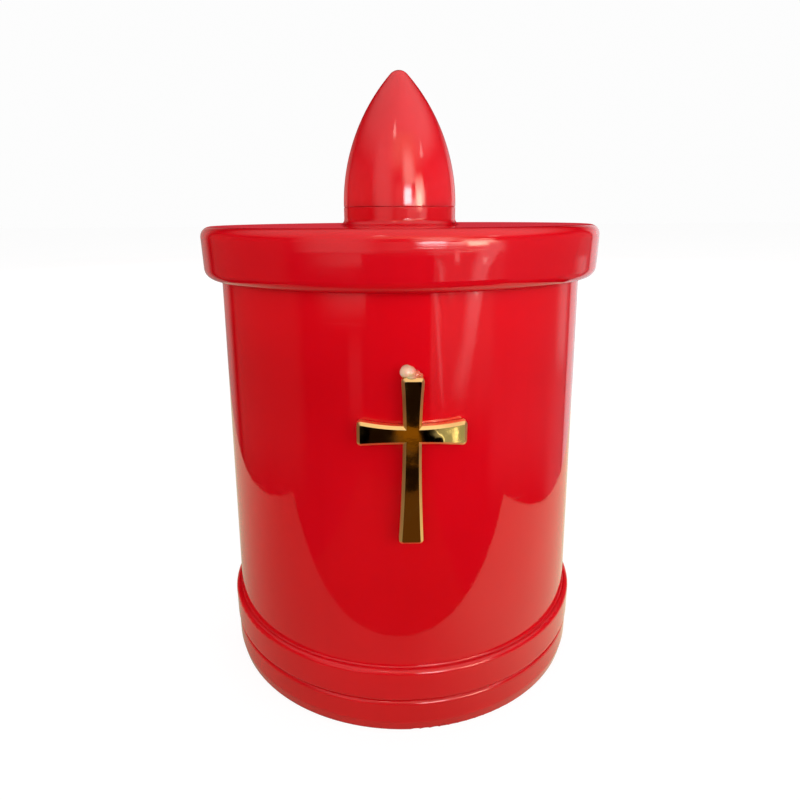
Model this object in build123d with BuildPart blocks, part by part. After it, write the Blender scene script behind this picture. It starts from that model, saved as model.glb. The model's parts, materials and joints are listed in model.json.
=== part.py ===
from build123d import *
import os
from math import acos, asin, cos, degrees, hypot, radians, sin, tan

# Electric sanctuary lamp: a red moulded shell with a flame-shaped lens on its lid and a gilt
# cross on its front, lit by one LED on a post that stands on a two-cell battery base.
# Millimetres, +Z up, origin on the table at the lamp's axis, the cross facing -Y.

os.makedirs("parts", exist_ok=True)

# ---- driving dimensions -------------------------------------------------------------------
# outer form
LID_RADIUS = 40.3
LID_TOP = 93.5
LID_BOTTOM = 83.7
LID_DRAFT = 0.25
WALL = 1.6
WALL_RADIUS_LOW = 38.3
WALL_RADIUS_HIGH = 36.85
FOOT_RADIUS = 39.65
FOOT_TOP = 14.1
FOOT_BOTTOM = 7.3
FLAME_RADIUS = 11.57
FLAME_SEAM = 97.0
FLAME_ARC = 36.3
FLAME_TIP = 2.4

# shell
SHELL_TOP = 90.9
FOOT_INNER = 37.6
SHELL_LEDGE = 13.0
BEAD_RADIUS = 38.0
BEAD_LOW = 85.0
BEAD_HIGH = 86.4
BOSS_RADIUS = 3.2
BOSS_TOP = 25.0
BOSS_PILOT = 1.3

# lid
LID_PLATE = 91.0
SKIRT_WALL = 2.0
HOOK_TOP = 84.9
PLUG_CLEARANCE = 0.16
PLUG_WALL = 1.4
PLUG_BOTTOM = 81.0
NECK_BORE = 10.3
RIB_START = 12.5
RIB_DEPTH = 2.2

# flame lens
LENS_SEAT = FLAME_SEAM + 0.05
LENS_WALL = 1.5
LENS_SPIGOT = NECK_BORE - 0.15
LENS_SPIGOT_WALL = 1.25
LENS_BOTTOM = 88.9
LENS_BARB = 10.85

# cross: (length from the crossing, half-width at the end) of each arm, anticlockwise from +X
CROSS_CENTRE_Z = 60.5
CROSS_WAIST = 1.55
CROSS_ARMS = [(9.25, 2.2), (9.7, 1.95), (9.25, 2.2), (19.9, 2.15)]
CROSS_THICKNESS = 1.7
CROSS_TILT = -0.8
CROSS_BEVEL = 0.5
CROSS_CORNER = 0.7
GLUE = 0.2
GLUE_INSET = 0.4

# base
REST_OUTER = 39.0
REST_INNER = 36.4
BASE_RING_RADIUS = 39.5
BASE_RING_TOP = 7.1
SPIGOT_RADIUS = 37.45
SPIGOT_WALL = 1.8
SPIGOT_TOP = 12.7
FLOOR_BOTTOM = 1.0
FLOOR_TOP = 3.4
SCREW_SPOTS = [(0.0, -31.0), (19.5, 24.1), (-19.5, 24.1)]
TOWER_RADIUS = 3.4
TOWER_TOP = 13.3
BASE_SCREW_SEAT = 4.2

# battery bay
BAY_LENGTH = 57.0
BAY_WIDTH = 31.0
BAY_WALL = 1.4
BAY_ROOF = 17.9
ROOF_TOP = 19.3
CELL_RADIUS = 7.1
SLEEVE = 0.1
CELL_LENGTH = 50.5
NUB_RADIUS = 2.6
NUB_LENGTH = 1.0
CELL_Y = 7.35
CELL_Z = 10.4
CONTACT_THICK = 0.4
CONTACT_LOW = 5.4
CONTACT_BUMP = 0.6
TAB_TOP = 22.0
TAB_WIDTH = 3.0
SPRING_WIRE = 0.3
SPRING_RADIUS = 3.4
SPRING_TURNS = 4

# battery door
DOOR_GAP = 0.2
DOOR_BOTTOM = 1.3
DOOR_TOP = 2.7
RECESS_X = 30.5
RECESS_Y = 17.5
HINGE_X = -29.9
HINGE_Z = 2.1
KNUCKLE_RADIUS = 0.9
KNUCKLE_Y = 13.0
LUG_X = -28.9
DOOR_NOTCH_X = -28.2
HINGE_PIN_RADIUS = 0.5
HINGE_PIN_LENGTH = 1.4
HINGE_PIN_CLEARANCE = 0.05
TONGUE_WIDTH = 11.0
TONGUE_LENGTH = 11.0

# slide switch
SWITCH_Y = 24.0
SWITCH_PAD_TOP = 4.4
SWITCH_TRAVEL = 3.0
SWITCH_CASE = (12.6, 6.6, 5.0)
EAR_SCREW_X = 8.6
EAR_THICK = 0.6
KNOB_LENGTH = 4.0
KNOB_WIDTH = 3.0
KNOB_BOTTOM = 0.35
PIN_PITCH = 3.6
PIN_TOP = 11.2

# light post, circuit board and LED
POST_RADIUS = 5.0
POST_BORE = 3.4
POST_FOOT = 19.4
POST_FLANGE_RADIUS = 11.0
POST_FLANGE_BOTTOM = 21.9
POST_FLANGE_TOP = 23.7
POST_SCREW_X = 8.2
POST_HEAD_RADIUS = 9.2
POST_HEAD_BOTTOM = 83.2
POST_HEAD_TOP = 85.0
BOARD_BOTTOM = 86.4
BOARD_TOP = 88.0
BOARD_RADIUS = 9.0
BOARD_SCREW_Y = 6.4
LED_RADIUS = 2.5
LED_SEAT = 88.6
LED_PITCH = 1.27
RESISTOR_X = -5.4
RESISTOR_SPAN = 4.4

# hook-up wires: hand-laid routes from contact tab or switch pin to where each one ends
WIRE_RADIUS = 0.65
WIRE_ROUTES = {
    "wire_red": [
        (27.95, 7.35, 20.9),
        (21.5, 9.5, 22.2),
        (14.5, 16.5, 22.0),
        (7.5, 22.3, 20.0),
        (3.6, 24.0, 16.0),
        (3.6, 24.0, 11.2),
    ],
    "wire_black": [
        (27.95, -7.35, 20.9),
        (20.5, -6.6, 21.6),
        (10.5, -3.2, 29.5),
        (1.75, -1.0, 41.5),
        (1.75, -1.0, 86.4),
    ],
    "wire_switched": [
        (0.0, 24.0, 11.2),
        (0.0, 23.7, 17.0),
        (0.0, 18.5, 26.0),
        (-0.9, 1.75, 49.0),
        (-0.9, 1.75, 86.4),
    ],
}


# ---- helpers ------------------------------------------------------------------------------
def wall_radius(z):
    """Outer radius of the shell's tapered wall at height z."""
    share = (z - FOOT_TOP) / (LID_BOTTOM - FOOT_TOP)
    return WALL_RADIUS_LOW + (WALL_RADIUS_HIGH - WALL_RADIUS_LOW) * share


def corner(sketch, r, z):
    """The vertex of an XZ profile nearest to radius r and height z."""
    return sketch.vertices().sort_by_distance((r, z, 0))[0]


def save(piece, name):
    """Labels a finished piece and writes it as parts/NAME.step."""
    piece.part.label = name
    export_step(piece.part, f"parts/{name}.step")


def disc(x, y, z_low, z_high, radius, mode=Mode.ADD):
    """Adds or cuts an upright cylinder between two heights."""
    with Locations((x, y, (z_low + z_high) / 2)):
        Cylinder(radius, z_high - z_low, mode=mode)


def block(x, y, z, mode=Mode.ADD):
    """Adds or cuts a box given by its low and high limits along X, Y and Z."""
    with Locations((sum(x) / 2, sum(y) / 2, sum(z) / 2)):
        Box(x[1] - x[0], y[1] - y[0], z[1] - z[0], mode=mode)


def screw(x, y, seat, head_radius, head_height, shank_radius, shank_length, points_up):
    """Adds one pan-head cross-slot screw, its head bearing on the seat."""
    way = 1 if points_up else -1
    top = seat - way * head_height
    slot_floor = seat - way * head_height * 0.45
    disc(x, y, min(seat, top), max(seat, top), head_radius)
    crown = edges().filter_by(GeomType.CIRCLE).sort_by_distance((x + head_radius, y, top))[0]
    fillet(crown, head_height * 0.4)
    for long, short in ((1.1, 0.28), (0.28, 1.1)):
        half_x, half_y = head_radius * long / 2, head_radius * short / 2
        slot = (min(top, slot_floor), max(top, slot_floor))
        block((x - half_x, x + half_x), (y - half_y, y + half_y), slot, Mode.SUBTRACT)
    end = seat + way * shank_length
    disc(x, y, min(seat, end), max(seat, end), shank_radius)


def wall_ring(low, high, inner, outer, mode):
    """Adds, cuts or keeps a ring that follows the wall's taper, at these distances off it."""
    with BuildSketch(Plane.XZ) as ring:
        with BuildLine():
            Polyline(
                (max(wall_radius(low) + inner, 0), low),
                (wall_radius(low) + outer, low),
                (wall_radius(high) + outer, high),
                (max(wall_radius(high) + inner, 0), high),
                close=True,
            )
        make_face()
    revolve(ring.sketch, axis=Axis.Z, mode=mode)


# ---- body shell ---------------------------------------------------------------------------
with BuildPart() as body_shell:
    with BuildSketch(Plane.XZ) as shell_profile:
        with BuildLine():
            Polyline(
                (FOOT_INNER, FOOT_BOTTOM),
                (FOOT_RADIUS, FOOT_BOTTOM),
                (FOOT_RADIUS, FOOT_TOP),
                (wall_radius(FOOT_TOP), FOOT_TOP),
                (wall_radius(BEAD_LOW), BEAD_LOW),
                (BEAD_RADIUS, BEAD_LOW),
                (BEAD_RADIUS, BEAD_HIGH),
                (wall_radius(BEAD_HIGH), BEAD_HIGH),
                (wall_radius(SHELL_TOP), SHELL_TOP),
                (wall_radius(SHELL_TOP) - WALL, SHELL_TOP),
                (wall_radius(SHELL_LEDGE) - WALL, SHELL_LEDGE),
                (FOOT_INNER, SHELL_LEDGE),
                close=True,
            )
        make_face()
        fillet(corner(shell_profile, FOOT_RADIUS, FOOT_TOP), 0.9)
        fillet(corner(shell_profile, FOOT_RADIUS, FOOT_BOTTOM), 0.7)
        fillet(corner(shell_profile, wall_radius(FOOT_TOP), FOOT_TOP), 0.35)
        fillet(corner(shell_profile, BEAD_RADIUS, BEAD_HIGH), 0.5)
        fillet(corner(shell_profile, wall_radius(SHELL_TOP), SHELL_TOP), 0.5)
    revolve(axis=Axis.Z)
    # three screw bosses, each webbed to the wall
    for x, y in SCREW_SPOTS:
        with BuildSketch(Plane((x, y, TOWER_TOP), x_dir=(x, y, 0), z_dir=(0, 0, 1))):
            Circle(BOSS_RADIUS)
            with Locations((BOSS_RADIUS, 0)):
                Rectangle(6.0, 2.4)
        extrude(amount=BOSS_TOP - TOWER_TOP)
        disc(x, y, TOWER_TOP, BOSS_TOP - 1.5, BOSS_PILOT, Mode.SUBTRACT)
save(body_shell, "body_shell")

# ---- lid ----------------------------------------------------------------------------------
plug_radius = wall_radius(SHELL_TOP) - WALL - PLUG_CLEARANCE
skirt_inner = LID_RADIUS - SKIRT_WALL
hook_inner = wall_radius(LID_BOTTOM) + 0.3
rib_length = plug_radius - PLUG_WALL / 2 - RIB_START
with BuildPart() as lid:
    with BuildSketch(Plane.XZ) as lid_profile:
        with BuildLine():
            Polyline(
                (NECK_BORE, LID_PLATE),
                (plug_radius - PLUG_WALL, LID_PLATE),
                (plug_radius - PLUG_WALL, PLUG_BOTTOM),
                (plug_radius, PLUG_BOTTOM),
                (plug_radius, LID_PLATE),
                (skirt_inner, LID_PLATE),
                (skirt_inner, HOOK_TOP),
                (hook_inner, HOOK_TOP),
                (hook_inner, LID_BOTTOM),
                (LID_RADIUS - LID_DRAFT, LID_BOTTOM),
                (LID_RADIUS, LID_TOP),
                (FLAME_RADIUS, LID_TOP),
                (FLAME_RADIUS, FLAME_SEAM),
                (NECK_BORE, FLAME_SEAM),
                close=True,
            )
        make_face()
        fillet(corner(lid_profile, LID_RADIUS, LID_TOP), 2.0)
        fillet(corner(lid_profile, LID_RADIUS - LID_DRAFT, LID_BOTTOM), 2.0)
        fillet(corner(lid_profile, FLAME_RADIUS, LID_TOP), 1.2)
        fillet(corner(lid_profile, FLAME_RADIUS, FLAME_SEAM), 0.25)
        fillet(corner(lid_profile, plug_radius, PLUG_BOTTOM), 0.5)
    revolve(axis=Axis.Z)
    # radial ribs that stiffen the lid's plate between the neck and the plug ring
    with BuildSketch(Plane.XY.offset(LID_PLATE - RIB_DEPTH)):
        with PolarLocations(RIB_START + rib_length / 2, 6, start_angle=30):
            Rectangle(rib_length, 1.2)
    extrude(amount=RIB_DEPTH)
save(lid, "lid")

# ---- flame lens ---------------------------------------------------------------------------
# The ogive's arc runs tangent into a small round tip; the inside keeps the same two centres.
arc_centre = FLAME_RADIUS - FLAME_ARC
tip_turn = acos(-arc_centre / (FLAME_ARC - FLAME_TIP))
tip_z = LENS_SEAT + (FLAME_ARC - FLAME_TIP) * sin(tip_turn)
inner_arc = FLAME_ARC - LENS_WALL
inner_start = asin(2.0 / inner_arc)
spigot_inner = LENS_SPIGOT - LENS_SPIGOT_WALL


def ogive_arc(radius, start, end):
    """Draws an arc of the ogive's profile at this radius about its centre."""
    spots = []
    for angle in (start, (start + end) / 2, end):
        spots.append((arc_centre + radius * cos(angle), LENS_SEAT + radius * sin(angle)))
    return ThreePointArc(*spots)


with BuildPart() as flame_lens:
    with BuildSketch(Plane.XZ):
        with BuildLine():
            ogive_arc(FLAME_ARC, 0, tip_turn)
            CenterArc((0, tip_z), FLAME_TIP, degrees(tip_turn), 90 - degrees(tip_turn))
            Line((0, tip_z + FLAME_TIP), (0, tip_z + FLAME_TIP - LENS_WALL))
            CenterArc((0, tip_z), FLAME_TIP - LENS_WALL, degrees(tip_turn), 90 - degrees(tip_turn))
            inside = ogive_arc(inner_arc, inner_start, tip_turn)
            Polyline(
                inside @ 0,
                (spigot_inner, LENS_SEAT),
                (spigot_inner, LENS_BOTTOM),
                (LENS_SPIGOT, LENS_BOTTOM),
                (LENS_BARB, LID_PLATE - 0.8),
                (LENS_BARB, LID_PLATE - 0.2),
                (LENS_SPIGOT, LID_PLATE - 0.2),
                (LENS_SPIGOT, LENS_SEAT),
                (FLAME_RADIUS, LENS_SEAT),
            )
        make_face()
    revolve(axis=Axis.Z)
save(flame_lens, "flame_lens")


# ---- cross and its glue -------------------------------------------------------------------
def turned(x, y, quarters):
    """A point of the first arm, carried round the crossing by some quarter turns and the tilt."""
    turn = radians(90 * quarters + CROSS_TILT)
    return x * cos(turn) - y * sin(turn), x * sin(turn) + y * cos(turn) + CROSS_CENTRE_Z


def cross_outline(inset=0.0):
    """Draws four arms whose sides bow in from flared ends to the waist at the crossing."""
    for quarters, (length, end) in enumerate(CROSS_ARMS):
        waist, tip, half = CROSS_WAIST - inset, length - inset, end - inset
        middle, narrow = (waist + tip) / 2, waist + (half - waist) * 0.3
        points = [(waist, waist), (middle, narrow), (tip, half)]
        upper = [turned(x, y, quarters) for x, y in points]
        lower = [turned(x, -y, quarters) for x, y in points]
        with BuildLine() as arm:
            ThreePointArc(*upper)
            Line(upper[2], lower[2])
            ThreePointArc(*lower)
            Polyline(lower[0], (0, CROSS_CENTRE_Z), upper[0])
        make_face(arm.edges())


cross_top = CROSS_CENTRE_Z + CROSS_ARMS[1][0]
cross_bottom = CROSS_CENTRE_Z - CROSS_ARMS[3][0]
with BuildPart() as cross:
    with BuildSketch(Plane.XZ.offset(30.0)) as cross_sketch:
        cross_outline()
        ends = [v for v in vertices() if hypot(v.X, v.Y - CROSS_CENTRE_Z) > 2 * CROSS_WAIST]
        fillet(ends, CROSS_CORNER)
    extrude(amount=10.0)
    wall_ring(cross_bottom - 2, cross_top + 2, GLUE, GLUE + CROSS_THICKNESS, Mode.INTERSECT)
    front = faces().sort_by(Axis.Y)[0]
    chamfer(front.outer_wire().edges(), CROSS_BEVEL)
save(cross, "cross")

# hot-melt glue: a thin film behind the cross, squeezed out in a bead over its head
glue_front = -wall_radius(cross_top)
with BuildPart() as cross_glue:
    with BuildSketch(Plane.XZ.offset(30.0)):
        cross_outline(GLUE_INSET)
        with Locations((0, cross_top - 0.2)):
            Rectangle(2 * (CROSS_ARMS[1][1] - GLUE_INSET), 1.0)
    extrude(amount=10.0)
    wall_ring(cross_bottom - 2, cross_top + 2, 0.0, GLUE, Mode.INTERSECT)
    for x, rise, radius in ((-0.9, 0.75, 1.1), (-0.25, 0.65, 1.0), (0.65, 0.3, 0.8), (1.25, 0.1, 0.5)):
        with Locations((x, glue_front - 0.35, cross_top + rise)):
            Sphere(radius)
    block((-3, 3), (-42, glue_front - GLUE), (cross_top - 3, cross_top + 0.04), Mode.SUBTRACT)
    wall_ring(cross_bottom - 4, cross_top + 6, -99.0, 0.0, Mode.SUBTRACT)
save(cross_glue, "cross_glue")

# ---- base ---------------------------------------------------------------------------------
bay_x, bay_y = BAY_LENGTH / 2, BAY_WIDTH / 2
recess_top = DOOR_TOP + DOOR_GAP
lug_y = KNUCKLE_Y + DOOR_GAP
case_x, case_y, case_height = SWITCH_CASE
slot_x = KNOB_LENGTH / 2 + SWITCH_TRAVEL / 2 + DOOR_GAP
slot_y = KNOB_WIDTH / 2 + DOOR_GAP
with BuildPart() as base:
    with BuildSketch(Plane.XZ) as base_profile:
        with BuildLine():
            Polyline(
                (0, FLOOR_BOTTOM),
                (REST_INNER, FLOOR_BOTTOM),
                (REST_INNER, 0),
                (REST_OUTER, 0),
                (BASE_RING_RADIUS, 2.4),
                (BASE_RING_RADIUS, BASE_RING_TOP),
                (SPIGOT_RADIUS, BASE_RING_TOP),
                (SPIGOT_RADIUS, SPIGOT_TOP),
                (SPIGOT_RADIUS - SPIGOT_WALL, SPIGOT_TOP),
                (SPIGOT_RADIUS - SPIGOT_WALL, FLOOR_TOP),
                (0, FLOOR_TOP),
                close=True,
            )
        make_face()
        fillet(corner(base_profile, REST_OUTER, 0), 0.6)
        fillet(corner(base_profile, BASE_RING_RADIUS, 2.4), 3.0)
        fillet(corner(base_profile, BASE_RING_RADIUS, BASE_RING_TOP), 0.9)
        fillet(corner(base_profile, SPIGOT_RADIUS, SPIGOT_TOP), 0.5)
    revolve(axis=Axis.Z)
    # battery bay, open below, with slots in its roof for the contact tabs
    bay_wall_x, bay_wall_y = bay_x + BAY_WALL, bay_y + BAY_WALL
    block((-bay_wall_x, bay_wall_x), (-bay_wall_y, bay_wall_y), (FLOOR_TOP - 1, ROOF_TOP))
    block((-bay_x, bay_x), (-bay_y, bay_y), (FLOOR_BOTTOM, BAY_ROOF), Mode.SUBTRACT)
    for y in (-CELL_Y, CELL_Y):
        slot = (y - TAB_WIDTH / 2 - 0.3, y + TAB_WIDTH / 2 + 0.3)
        block((bay_x - CONTACT_THICK - 0.2, bay_x), slot, (BAY_ROOF, ROOF_TOP), Mode.SUBTRACT)
    # recess for the door, less a lug at each end of the hinge, and a groove for its knuckle
    block((HINGE_X - 3.0, -bay_x), (-15.5, 15.5), (FLOOR_TOP - 1, FLOOR_TOP + 1))
    block((LUG_X, RECESS_X), (-RECESS_Y, RECESS_Y), (FLOOR_BOTTOM, recess_top), Mode.SUBTRACT)
    groove_x = HINGE_X - KNUCKLE_RADIUS - DOOR_GAP
    groove_top = HINGE_Z + KNUCKLE_RADIUS + DOOR_GAP
    block((groove_x, LUG_X), (-lug_y, lug_y), (FLOOR_BOTTOM, groove_top), Mode.SUBTRACT)
    with BuildSketch(Plane((HINGE_X, 0, HINGE_Z), x_dir=(1, 0, 0), z_dir=(0, 1, 0))):
        Circle(HINGE_PIN_RADIUS + HINGE_PIN_CLEARANCE)
    extrude(amount=KNUCKLE_Y + HINGE_PIN_LENGTH + DOOR_GAP, both=True, mode=Mode.SUBTRACT)
    # thumb recess beyond the door's free edge
    block((RECESS_X - 1, RECESS_X + 3.2), (-5, 5), (FLOOR_BOTTOM, 2.3), Mode.SUBTRACT)
    # screw towers, their heads sunk from below
    for x, y in SCREW_SPOTS:
        disc(x, y, FLOOR_TOP - 1, TOWER_TOP, TOWER_RADIUS)
        disc(x, y, FLOOR_BOTTOM, TOWER_TOP, 1.5, Mode.SUBTRACT)
        disc(x, y, FLOOR_BOTTOM, BASE_SCREW_SEAT, 2.7, Mode.SUBTRACT)
    # pad for the switch, with a slot for its knob and a finger pocket below
    block((-11.5, 11.5), (SWITCH_Y - 4.5, SWITCH_Y + 4.5), (FLOOR_TOP - 1, SWITCH_PAD_TOP))
    with BuildSketch(Plane.XY.offset(FLOOR_BOTTOM)):
        with Locations((0, SWITCH_Y)):
            RectangleRounded(13.0, 7.0, 2.0)
    extrude(amount=1.0, mode=Mode.SUBTRACT)
    knob_slot_y = (SWITCH_Y - slot_y, SWITCH_Y + slot_y)
    block((-slot_x, slot_x), knob_slot_y, (FLOOR_BOTTOM, SWITCH_PAD_TOP), Mode.SUBTRACT)
    for x in (-EAR_SCREW_X, EAR_SCREW_X):
        disc(x, SWITCH_Y, SWITCH_PAD_TOP - 2.6, SWITCH_PAD_TOP, 0.7, Mode.SUBTRACT)
    # two bosses that the light post's flange is screwed to
    for x in (-POST_SCREW_X, POST_SCREW_X):
        disc(x, 0, ROOF_TOP - 0.5, POST_FLANGE_BOTTOM - 0.05, 2.3)
        disc(x, 0, ROOF_TOP - 0.7, POST_FLANGE_BOTTOM, 0.8, Mode.SUBTRACT)
save(base, "base")

with BuildPart() as base_screws:
    for x, y in SCREW_SPOTS:
        screw(x, y, BASE_SCREW_SEAT, 2.4, 1.7, 1.25, 17.0, points_up=True)
save(base_screws, "base_screws")

# ---- battery door -------------------------------------------------------------------------
door_x = RECESS_X - DOOR_GAP
door_y = RECESS_Y - DOOR_GAP
with BuildPart() as battery_door:
    block((DOOR_NOTCH_X, door_x), (-door_y, door_y), (DOOR_BOTTOM, DOOR_TOP))
    block((HINGE_X, DOOR_NOTCH_X), (-KNUCKLE_Y, KNUCKLE_Y), (DOOR_BOTTOM, DOOR_TOP))
    for radius, reach in ((KNUCKLE_RADIUS, 0), (HINGE_PIN_RADIUS, HINGE_PIN_LENGTH)):
        with BuildSketch(Plane((HINGE_X, 0, HINGE_Z), x_dir=(1, 0, 0), z_dir=(0, 1, 0))):
            Circle(radius)
        extrude(amount=KNUCKLE_Y + reach, both=True)
    # the snap tongue is cut free on both sides, and ribbed for the thumb
    for y in (-TONGUE_WIDTH / 2, TONGUE_WIDTH / 2):
        slit = (y - 0.4, y + 0.4)
        block((door_x - TONGUE_LENGTH, door_x), slit, (DOOR_BOTTOM, DOOR_TOP), Mode.SUBTRACT)
    for step in range(4):
        x = door_x - 2.0 - 1.5 * step
        block((x - 0.35, x + 0.35), (-4, 4), (DOOR_BOTTOM, DOOR_BOTTOM + 0.4), Mode.SUBTRACT)
save(battery_door, "battery_door")

# ---- cells and contacts -------------------------------------------------------------------
nub_tip = bay_x - CONTACT_THICK - CONTACT_BUMP - 0.05
cell_foot = nub_tip - CELL_LENGTH


def cell_plane(way, x):
    """The plane across a cell at distance x towards its nub; way is +1 or -1 along X."""
    return Plane((way * x, way * CELL_Y, CELL_Z), x_dir=(0, 1, 0), z_dir=(way, 0, 0))


with BuildPart() as battery_cans:
    for way in (1, -1):
        with BuildSketch(cell_plane(way, cell_foot)):
            Circle(CELL_RADIUS - SLEEVE)
        extrude(amount=CELL_LENGTH - NUB_LENGTH)
        with BuildSketch(cell_plane(way, nub_tip - NUB_LENGTH)):
            Circle(NUB_RADIUS)
        extrude(amount=NUB_LENGTH)
save(battery_cans, "battery_cans")

with BuildPart() as battery_sleeves:
    for way in (1, -1):
        with BuildSketch(cell_plane(way, cell_foot + 0.8)):
            Circle(CELL_RADIUS)
            Circle(CELL_RADIUS - SLEEVE, mode=Mode.SUBTRACT)
        extrude(amount=CELL_LENGTH - NUB_LENGTH - 1.6)
save(battery_sleeves, "battery_sleeves")


def contact_plate(way, y_low, y_high):
    """Adds a flat contact against the bay's end wall on the +X or -X side."""
    inner, outer = way * (bay_x - CONTACT_THICK), way * bay_x
    block((min(inner, outer), max(inner, outer)), (y_low, y_high), (CONTACT_LOW, BAY_ROOF - 0.3))


def contact_bump(way):
    """Adds the raised button that a cell's nub touches."""
    with BuildSketch(cell_plane(way, bay_x - CONTACT_THICK - CONTACT_BUMP)) as button:
        Circle(1.8)
    extrude(button.sketch, amount=CONTACT_BUMP, taper=-15)


def solder_tab(y):
    """Adds the tab that stands up through the bay's roof on the +X side."""
    span = (y - TAB_WIDTH / 2, y + TAB_WIDTH / 2)
    block((bay_x - CONTACT_THICK, bay_x), span, (BAY_ROOF - 0.4, TAB_TOP))


with BuildPart() as contact_positive:
    contact_plate(1, CELL_Y - 5.5, CELL_Y + 5.5)
    contact_bump(1)
    solder_tab(CELL_Y)
save(contact_positive, "contact_positive")

with BuildPart() as contact_negative:
    contact_plate(1, -CELL_Y - 5.5, -CELL_Y + 5.5)
    solder_tab(-CELL_Y)
save(contact_negative, "contact_negative")

with BuildPart() as contact_bridge:
    contact_plate(-1, -CELL_Y - 5.5, CELL_Y + 5.5)
    contact_bump(-1)
save(contact_bridge, "contact_bridge")

# one coil spring behind each cell's flat end
spring_space = bay_x - CONTACT_THICK + cell_foot
spring_rise = spring_space - 2 * SPRING_WIRE - 0.1
with BuildPart() as contact_springs:
    for way in (1, -1):
        start = (way * (bay_x - CONTACT_THICK - SPRING_WIRE - 0.05), -way * CELL_Y, CELL_Z)
        with BuildLine() as coil:
            Helix(spring_rise / SPRING_TURNS, spring_rise, SPRING_RADIUS, start, (-way, 0, 0))
        with BuildSketch(Plane(coil.line @ 0, z_dir=coil.line % 0)):
            Circle(SPRING_WIRE)
        sweep(is_frenet=True)
save(contact_springs, "contact_springs")

# ---- slide switch -------------------------------------------------------------------------
case_top = SWITCH_PAD_TOP + case_height
case_floor = SWITCH_PAD_TOP + EAR_THICK
with BuildPart() as switch_case:
    half_y = case_y / 2
    block((-case_x / 2, case_x / 2), (SWITCH_Y - half_y, SWITCH_Y + half_y), (SWITCH_PAD_TOP, case_top))
    fillet(edges().filter_by(Axis.Z), 0.4)
    block((-10.5, 10.5), (SWITCH_Y - half_y, SWITCH_Y + half_y), (SWITCH_PAD_TOP, case_floor))
    block((-5.6, 5.6), (SWITCH_Y - 2.7, SWITCH_Y + 2.7), (case_floor, case_top - 1.4), Mode.SUBTRACT)
    block((-slot_x, slot_x), knob_slot_y, (SWITCH_PAD_TOP, case_floor), Mode.SUBTRACT)
    for x in (-EAR_SCREW_X, EAR_SCREW_X):
        disc(x, SWITCH_Y, SWITCH_PAD_TOP, case_floor, 0.95, Mode.SUBTRACT)
save(switch_case, "switch_case")

with BuildPart() as switch_pins:
    for x in (-PIN_PITCH, 0, PIN_PITCH):
        block((x - 0.55, x + 0.55), (SWITCH_Y - 0.25, SWITCH_Y + 0.25), (case_top, PIN_TOP))
save(switch_pins, "switch_pins")

# the knob rests at its off end, half a travel towards -X
knob_x = -SWITCH_TRAVEL / 2
with BuildPart() as switch_knob:
    stem_x = (knob_x - KNOB_LENGTH / 2, knob_x + KNOB_LENGTH / 2)
    stem_y = (SWITCH_Y - KNOB_WIDTH / 2, SWITCH_Y + KNOB_WIDTH / 2)
    block(stem_x, stem_y, (KNOB_BOTTOM, case_floor + 0.2))
    fillet(edges().filter_by(Axis.Z), 0.3)
    block((knob_x - 2.8, knob_x + 2.8), (SWITCH_Y - 2.4, SWITCH_Y + 2.4), (case_floor + 0.1, case_floor + 1.7))
    for step in (-1, 0, 1):
        x = knob_x + 1.1 * step
        block((x - 0.25, x + 0.25), stem_y, (KNOB_BOTTOM, KNOB_BOTTOM + 0.35), Mode.SUBTRACT)
save(switch_knob, "switch_knob")

with BuildPart() as switch_screws:
    for x in (-EAR_SCREW_X, EAR_SCREW_X):
        screw(x, SWITCH_Y, case_floor, 1.5, 1.0, 0.65, 3.0, points_up=False)
save(switch_screws, "switch_screws")

# ---- light post ---------------------------------------------------------------------------
with BuildPart() as light_post:
    disc(0, 0, POST_FOOT, POST_HEAD_TOP, POST_RADIUS)
    disc(0, 0, POST_FLANGE_BOTTOM, POST_FLANGE_TOP, POST_FLANGE_RADIUS)
    disc(0, 0, POST_HEAD_BOTTOM, POST_HEAD_TOP, POST_HEAD_RADIUS)
    # gussets between the tube and its flange
    for x in (-7.0, 7.0):
        block((x - 2.2, x + 2.2), (2.6, 3.8), (POST_FLANGE_TOP - 1, POST_FLANGE_TOP + 3))
        block((x - 2.2, x + 2.2), (-3.8, -2.6), (POST_FLANGE_TOP - 1, POST_FLANGE_TOP + 3))
    for y in (-BOARD_SCREW_Y, BOARD_SCREW_Y):
        disc(0, y, POST_HEAD_TOP - 1, BOARD_BOTTOM, 2.2)
        disc(0, y, POST_HEAD_TOP - 0.8, BOARD_BOTTOM, 0.9, Mode.SUBTRACT)
    disc(0, 0, POST_FOOT, BOARD_BOTTOM, POST_BORE, Mode.SUBTRACT)
    for x in (-POST_SCREW_X, POST_SCREW_X):
        disc(x, 0, POST_FLANGE_BOTTOM, POST_FLANGE_TOP, 1.15, Mode.SUBTRACT)
    # windows where the wires enter the tube
    block((2.5, 6), (-3.3, 0.3), (33.5, 46.5), Mode.SUBTRACT)
    block((-2.6, 1.0), (2.5, 6), (40.0, 54.0), Mode.SUBTRACT)
save(light_post, "light_post")

with BuildPart() as post_screws:
    for x in (-POST_SCREW_X, POST_SCREW_X):
        screw(x, 0, POST_FLANGE_TOP, 2.0, 1.4, 0.75, 4.8, points_up=False)
save(post_screws, "post_screws")

# ---- circuit board, LED and resistor ------------------------------------------------------
with BuildPart() as circuit_board:
    disc(0, 0, BOARD_BOTTOM, BOARD_TOP, BOARD_RADIUS)
    for y in (-BOARD_SCREW_Y, BOARD_SCREW_Y):
        disc(0, y, BOARD_BOTTOM, BOARD_TOP, 1.1, Mode.SUBTRACT)
    for x in (-LED_PITCH, LED_PITCH):
        disc(x, 0, BOARD_BOTTOM, BOARD_TOP, 0.45, Mode.SUBTRACT)
    for y in (-RESISTOR_SPAN, RESISTOR_SPAN):
        disc(RESISTOR_X, y, BOARD_BOTTOM, BOARD_TOP, 0.4, Mode.SUBTRACT)
save(circuit_board, "circuit_board")

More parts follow.
